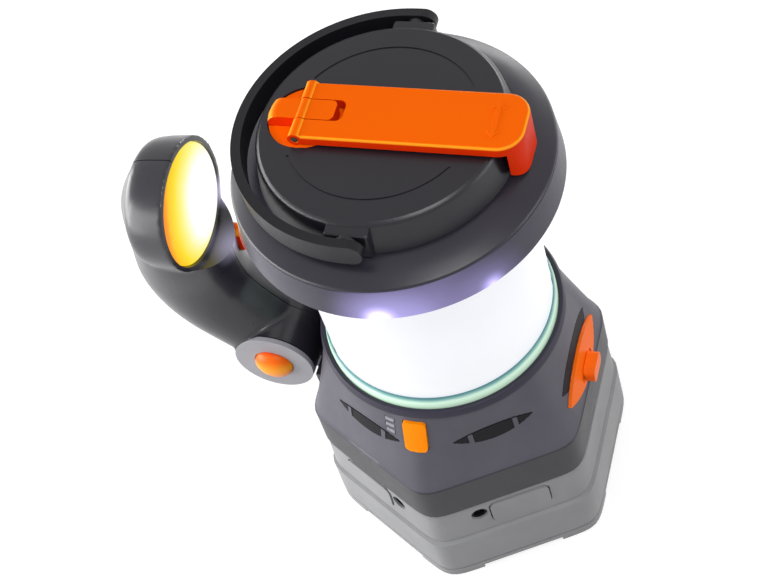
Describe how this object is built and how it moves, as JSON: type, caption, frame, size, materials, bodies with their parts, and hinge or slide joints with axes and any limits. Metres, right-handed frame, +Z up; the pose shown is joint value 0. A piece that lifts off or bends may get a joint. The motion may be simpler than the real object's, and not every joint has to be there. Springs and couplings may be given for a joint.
{
  "type": "hand crank flashlight",
  "caption": "Camping lantern with a lit tube on a hexagonal base, a folding dynamo crank and carry handle on its cap, and a tilting torch at the side.",
  "frame": {"origin": "on the ground at the axis of the lens tube, at the middle of the base's centre foot", "axes": "+Z up along the lens tube, +X from the tube towards the crank's grip, the side torch on the -X side"},
  "size_m": [0.1896, 0.1358, 0.2341],
  "materials": {
    "housing_grey": "satin",
    "pale_grey": "satin",
    "dark_plastic": "satin",
    "orange_plastic": "satin",
    "black_rubber": "matte",
    "steel": "brushed",
    "copper": "satin",
    "board": "satin",
    "lit_white": "lit",
    "glow_green": "satin",
    "white_plastic": "satin",
    "mirror": "polished"
  },
  "bodies": {
    "lantern": {"foot_ring": "pale_grey", "lower_housing": "pale_grey", "front_panel_right": "pale_grey", "front_panel_left": "pale_grey", "power_socket_right": "black_rubber", "power_socket_left": "black_rubber", "bottom_cover": "dark_plastic", "cover_screw_1": "steel", "cover_screw_2": "steel", "cover_screw_3": "steel", "battery_tray": "dark_plastic", "battery_cell_1": "steel", "battery_cell_2": "steel", "battery_cell_3": "steel", "base_deck": "dark_plastic", "main_board": "board", "upper_housing": "housing_grey", "port_socket_right": "steel", "port_socket_left": "steel", "indicator_light_1": "lit_white", "indicator_light_2": "lit_white", "indicator_light_3": "lit_white", "switch_leaf": "orange_plastic", "collar": "dark_plastic", "glow_ring": "glow_green", "lens_tube": "lit_white", "reflector_cone": "white_plastic", "wire_column": "white_plastic", "light_board": "white_plastic", "cap_skirt": "dark_plastic", "cap_rim": "dark_plastic", "cap_floor": "dark_plastic", "top_disc": "dark_plastic", "handle_pin_right": "steel", "handle_pin_left": "steel", "gear_frame": "dark_plastic", "dynamo_body": "steel", "torch_bracket": "dark_plastic", "torch_pivot_pin": "steel"},
    "crank_hub": {"crank_hub": "orange_plastic", "fold_pin": "steel", "drive_gear": "white_plastic"},
    "crank_arm": {"crank_arm": "orange_plastic"},
    "compound_gear": {"compound_gear": "white_plastic"},
    "dynamo_rotor": {"dynamo_rotor": "copper"},
    "carry_handle": {"carry_handle": "dark_plastic"},
    "power_button": {"power_button": "orange_plastic"},
    "switch_knob": {"switch_knob": "orange_plastic"},
    "port_cover_right": {"port_cover_right": "black_rubber"},
    "port_cover_left": {"port_cover_left": "black_rubber"},
    "torch": {"torch_shell_front": "dark_plastic", "torch_shell_back": "dark_plastic", "torch_end_disc": "pale_grey", "torch_reflector": "mirror", "torch_lens": "lit_white", "torch_lamp": "white_plastic", "torch_battery": "steel"},
    "torch_dome_button": {"torch_dome_button": "orange_plastic"},
    "torch_side_button": {"torch_side_button": "orange_plastic"}
  },
  "joints": [
    {"name": "crank_spin", "type": "hinge", "parent": "lantern", "child": "crank_hub", "pos_m": [-0.028, 0, 0.227], "axis": [0, 0, 1], "continuous": true},
    {"name": "crank_fold", "type": "hinge", "parent": "crank_hub", "child": "crank_arm", "pos_m": [-0.028, 0, 0.23135], "axis": [0, -1, 0], "range_deg": [0, 180]},
    {"name": "compound_spin", "type": "hinge", "parent": "lantern", "child": "compound_gear", "pos_m": [-0.008, 0, 0.217], "axis": [0, 0, 1], "continuous": true},
    {"name": "rotor_spin", "type": "hinge", "parent": "lantern", "child": "dynamo_rotor", "pos_m": [0.013, 0, 0.21], "axis": [0, 0, 1], "continuous": true},
    {"name": "handle_swing", "type": "hinge", "parent": "lantern", "child": "carry_handle", "pos_m": [0, 0, 0.2239], "axis": [0, 1, 0], "range_deg": [0, 95]},
    {"name": "power_press", "type": "slide", "parent": "lantern", "child": "power_button", "axis": [0, 1, 0], "range_m": [0, 0.001], "stiffness_N_per_m": 600},
    {"name": "switch_slide", "type": "slide", "parent": "lantern", "child": "switch_knob", "axis": [0, 1, 0], "range_m": [-0.005, 0.005]},
    {"name": "port_cover_right_swing", "type": "hinge", "parent": "lantern", "child": "port_cover_right", "pos_m": [0.01439, -0.05192, 0.094], "axis": [0.1033, -0.1789, -0.9784], "range_deg": [0, 80]},
    {"name": "port_cover_left_swing", "type": "hinge", "parent": "lantern", "child": "port_cover_left", "pos_m": [-0.03777, -0.03842, 0.094], "axis": [-0.1033, -0.1789, -0.9784], "range_deg": [0, 80]},
    {"name": "torch_tilt", "type": "hinge", "parent": "lantern", "child": "torch", "pos_m": [-0.0755, 0, 0.085], "axis": [0, -1, 0], "range_deg": [0, 90]},
    {"name": "torch_dome_press", "type": "slide", "parent": "torch", "child": "torch_dome_button", "axis": [0, 1, 0], "range_m": [0, 0.0015], "stiffness_N_per_m": 600},
    {"name": "torch_side_press", "type": "slide", "parent": "torch", "child": "torch_side_button", "axis": [-1, 0, 0], "range_m": [0, 0.001], "stiffness_N_per_m": 600}
  ],
  "couplings": [
    {"joint": "compound_spin", "follows": "crank_spin", "ratio": -3},
    {"joint": "rotor_spin", "follows": "crank_spin", "ratio": 9.6}
  ]
}
